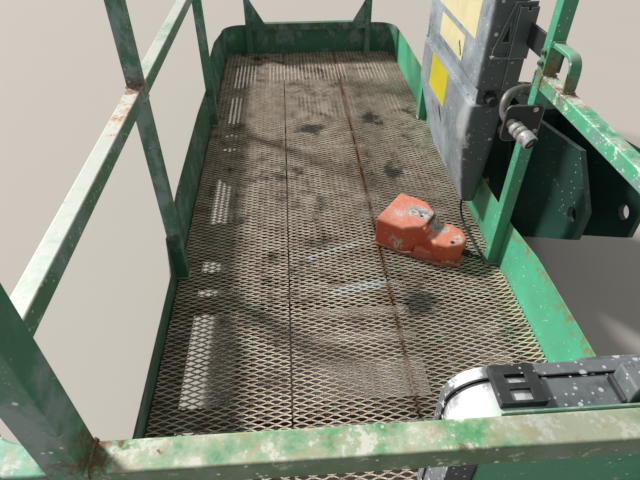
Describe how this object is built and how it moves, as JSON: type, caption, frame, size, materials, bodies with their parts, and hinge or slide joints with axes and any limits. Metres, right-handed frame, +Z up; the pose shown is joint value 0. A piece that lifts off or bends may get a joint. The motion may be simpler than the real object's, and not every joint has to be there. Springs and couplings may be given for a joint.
{
  "type": "boom lift work platform",
  "caption": "Rectangular railed work platform with expanded metal floor, kick plates, entry gate, control console, foot switch, document case and a rotator with a boom yoke.",
  "frame": {"origin": "on the ground under the middle of the floor, on the underside of the tie between the two support tubes", "axes": "+X towards the boom side, +Y from the near end to the far entry gate, +Z up"},
  "size_m": [1.226, 2.608, 1.232],
  "materials": {
    "green_paint": "green enamel, sun-bleached on top faces, chipped to primer and rust at welds and edges, flecked with overspray",
    "floor_metal": "expanded metal, worn paint over rust and dried dirt",
    "bare_steel": "zinc-plated steel, dull and stained",
    "dark_steel": "black paint, scuffed",
    "grey_plastic": "moulded grey plastic, chalky and scratched",
    "black_plastic": "moulded black plastic",
    "red_plastic": "moulded red plastic",
    "orange_plastic": "moulded orange-red shell, worn through to pale and grey",
    "black_rubber": "black rubber"
  },
  "bodies": {
    "platform": {"support_tubes": "green_paint", "floor_side_tubes": "green_paint", "floor_end_tubes": "green_paint", "floor_corners": "green_paint", "floor_cross_members": "green_paint", "floor_stringers": "green_paint", "kick_plates_left": "green_paint", "kick_plates_right": "green_paint", "kick_plate_near": "green_paint", "kick_plate_far": "green_paint", "kick_corners": "green_paint", "side_posts_left": "green_paint", "side_posts_right": "green_paint", "gate_posts_near": "green_paint", "gate_posts_far": "green_paint", "mid_rail_left": "green_paint", "mid_rail_right": "green_paint", "mid_rail_corners": "green_paint", "mid_rail_near": "green_paint", "top_rail_left": "green_paint", "top_rail_right": "green_paint", "top_rail_corners": "green_paint", "top_rail_near": "green_paint", "threshold": "green_paint", "gate_stop": "green_paint", "lanyard_ring": "green_paint", "case_plate": "green_paint", "rotator_bracket": "green_paint", "floor_mesh_left": "floor_metal", "floor_mesh_middle": "floor_metal", "floor_mesh_right": "floor_metal", "gate_hinge_pins": "bare_steel", "coupling": "bare_steel", "coupling_pipe": "bare_steel", "coupling_plate": "dark_steel", "rotator_housing": "dark_steel", "console_straps": "dark_steel", "console_guard": "dark_steel", "foot_switch_base": "dark_steel", "foot_switch_pedal": "dark_steel", "console_cover": "grey_plastic", "console_box": "grey_plastic", "console_head": "grey_plastic", "case_back": "grey_plastic", "joystick_drive": "black_plastic", "joystick_boom": "black_plastic", "console_switches": "black_plastic", "console_connector": "black_plastic", "case_handle": "black_plastic", "stop_button": "red_plastic", "foot_switch_shell": "orange_plastic", "foot_switch_gland": "black_rubber", "foot_switch_cord": "black_rubber"},
    "gate": {"gate_stiles": "green_paint", "gate_rails": "green_paint", "gate_hinge_sleeves": "green_paint"},
    "case_lid": {"case_lid": "grey_plastic", "case_latch": "black_plastic"},
    "yoke": {"boom_yoke": "green_paint"}
  },
  "joints": [
    {"name": "gate_swing", "type": "hinge", "parent": "platform", "child": "gate", "pos_m": [-0.293, 1.251, 0.9], "axis": [0, 0, -1], "range_deg": [0, 90]},
    {"name": "case_lid_swing", "type": "hinge", "parent": "platform", "child": "case_lid", "pos_m": [0.2045, -1.217, 0.3705], "axis": [-1, 0, 0], "range_deg": [0, 100]},
    {"name": "rotator_turn", "type": "hinge", "parent": "platform", "child": "yoke", "pos_m": [0.66, 0, 0.2], "axis": [0, 0, 1], "range_deg": [0, 180]}
  ]
}
